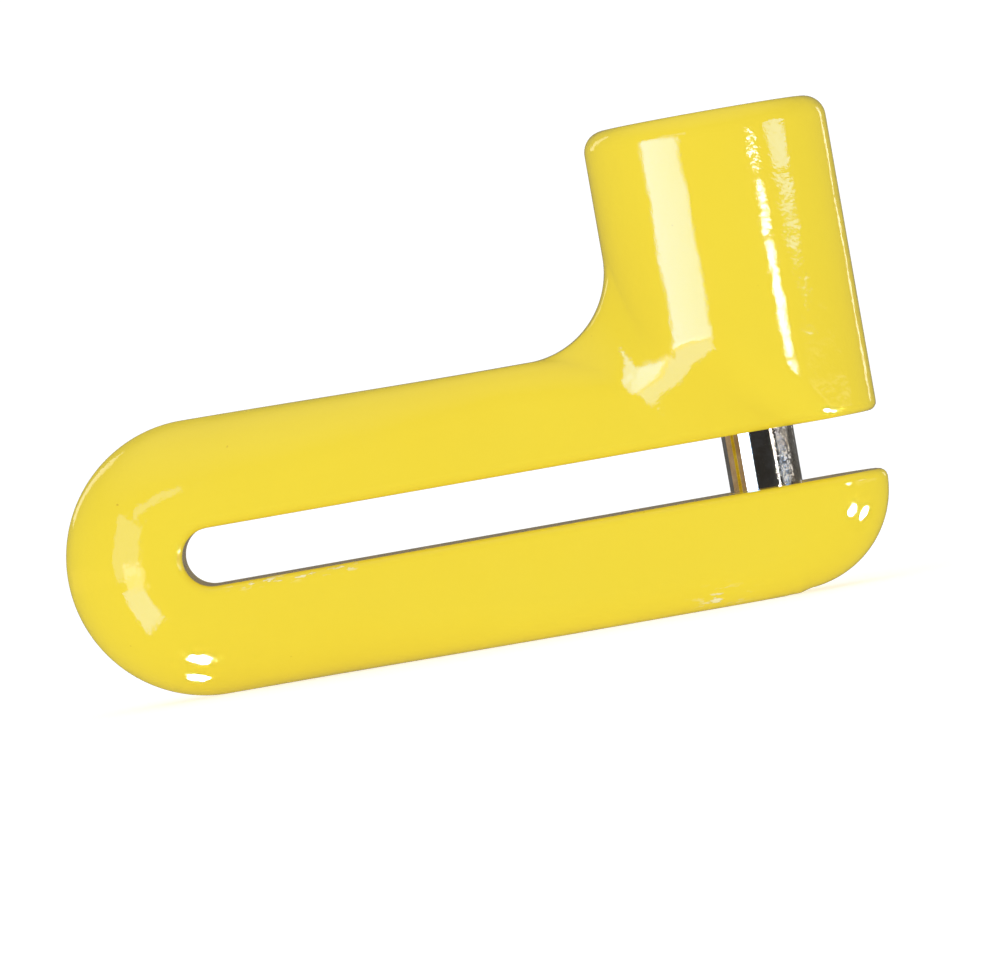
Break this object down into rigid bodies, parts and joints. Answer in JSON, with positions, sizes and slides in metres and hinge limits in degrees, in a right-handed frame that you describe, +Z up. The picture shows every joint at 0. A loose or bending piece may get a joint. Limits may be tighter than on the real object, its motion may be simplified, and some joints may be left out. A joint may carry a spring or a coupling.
{
  "type": "brake disc lock",
  "caption": "Push-to-lock brake disc lock: a U-shaped jaw with a long slot, a round lock housing and a steel pin that crosses the slot.",
  "frame": {"origin": "on the ground under the lock, midway along its length and its thickness, with the lock standing on its lower arm", "axes": "+X along the slot towards its mouth, +Y through the jaw's thickness to the side of the guide screw, +Z up along the locking pin"},
  "size_m": [0.1132, 0.0334, 0.067],
  "materials": {
    "yellow_paint": "gloss yellow powder coat",
    "plated_pin": "polished plated hardened steel",
    "stainless": "turned stainless",
    "steel": "ground hardened steel",
    "spring_steel": "drawn spring wire",
    "cast_zinc": "die-cast and turned",
    "bronze": "sintered bronze",
    "plug_brass": "nickel-free turned brass",
    "wafer_brass": "stamped brass",
    "seal_rubber": "matte black"
  },
  "bodies": {
    "casing": {"body": "yellow_paint", "pin_bush": "bronze", "return_spring": "spring_steel", "guide_screw": "steel", "screw_seal": "yellow_paint"},
    "bolt": {"lock_carrier": "cast_zinc", "locking_pin": "plated_pin", "pin_dowel": "steel", "face_cap": "stainless", "drill_guard_pins": "steel", "carrier_seal": "seal_rubber", "plug_retainer": "steel", "latch_spring": "spring_steel"},
    "core": {"plug": "plug_brass", "drive_pin": "steel", "wafer_springs": "spring_steel"},
    "catch": {"latch": "steel"},
    "tumbler_1": {"wafer_1": "wafer_brass"},
    "tumbler_2": {"wafer_2": "wafer_brass"},
    "tumbler_3": {"wafer_3": "wafer_brass"},
    "tumbler_4": {"wafer_4": "wafer_brass"},
    "tumbler_5": {"wafer_5": "wafer_brass"}
  },
  "joints": [
    {"name": "bolt_slide", "type": "slide", "parent": "casing", "child": "bolt", "axis": [0, 0, 1], "range_m": [0, 0.0155], "deforming": ["return_spring"]},
    {"name": "key_turn", "type": "hinge", "parent": "bolt", "child": "core", "pos_m": [0.03988, 0, 0.055], "axis": [0, 0, 1], "range_deg": [0, 90]},
    {"name": "latch_slide", "type": "slide", "parent": "bolt", "child": "catch", "axis": [-1, 0, 0], "range_m": [0, 0.0016], "deforming": ["latch_spring"]},
    {"name": "wafer_1_slide", "type": "slide", "parent": "core", "child": "tumbler_1", "axis": [0, 1, 0], "range_m": [0, 0.0008], "deforming": ["wafer_springs"]},
    {"name": "wafer_2_slide", "type": "slide", "parent": "core", "child": "tumbler_2", "axis": [0, -1, 0], "range_m": [0, 0.0008]},
    {"name": "wafer_3_slide", "type": "slide", "parent": "core", "child": "tumbler_3", "axis": [0, 1, 0], "range_m": [0, 0.0008]},
    {"name": "wafer_4_slide", "type": "slide", "parent": "core", "child": "tumbler_4", "axis": [0, -1, 0], "range_m": [0, 0.0008]},
    {"name": "wafer_5_slide", "type": "slide", "parent": "core", "child": "tumbler_5", "axis": [0, 1, 0], "range_m": [0, 0.0008]}
  ],
  "couplings": [
    {"joint": "latch_slide", "follows": "key_turn", "m_per_rad": 0.0010186},
    {"joint": "wafer_2_slide", "follows": "wafer_1_slide", "ratio": 1},
    {"joint": "wafer_3_slide", "follows": "wafer_1_slide", "ratio": 1},
    {"joint": "wafer_4_slide", "follows": "wafer_1_slide", "ratio": 1},
    {"joint": "wafer_5_slide", "follows": "wafer_1_slide", "ratio": 1}
  ]
}
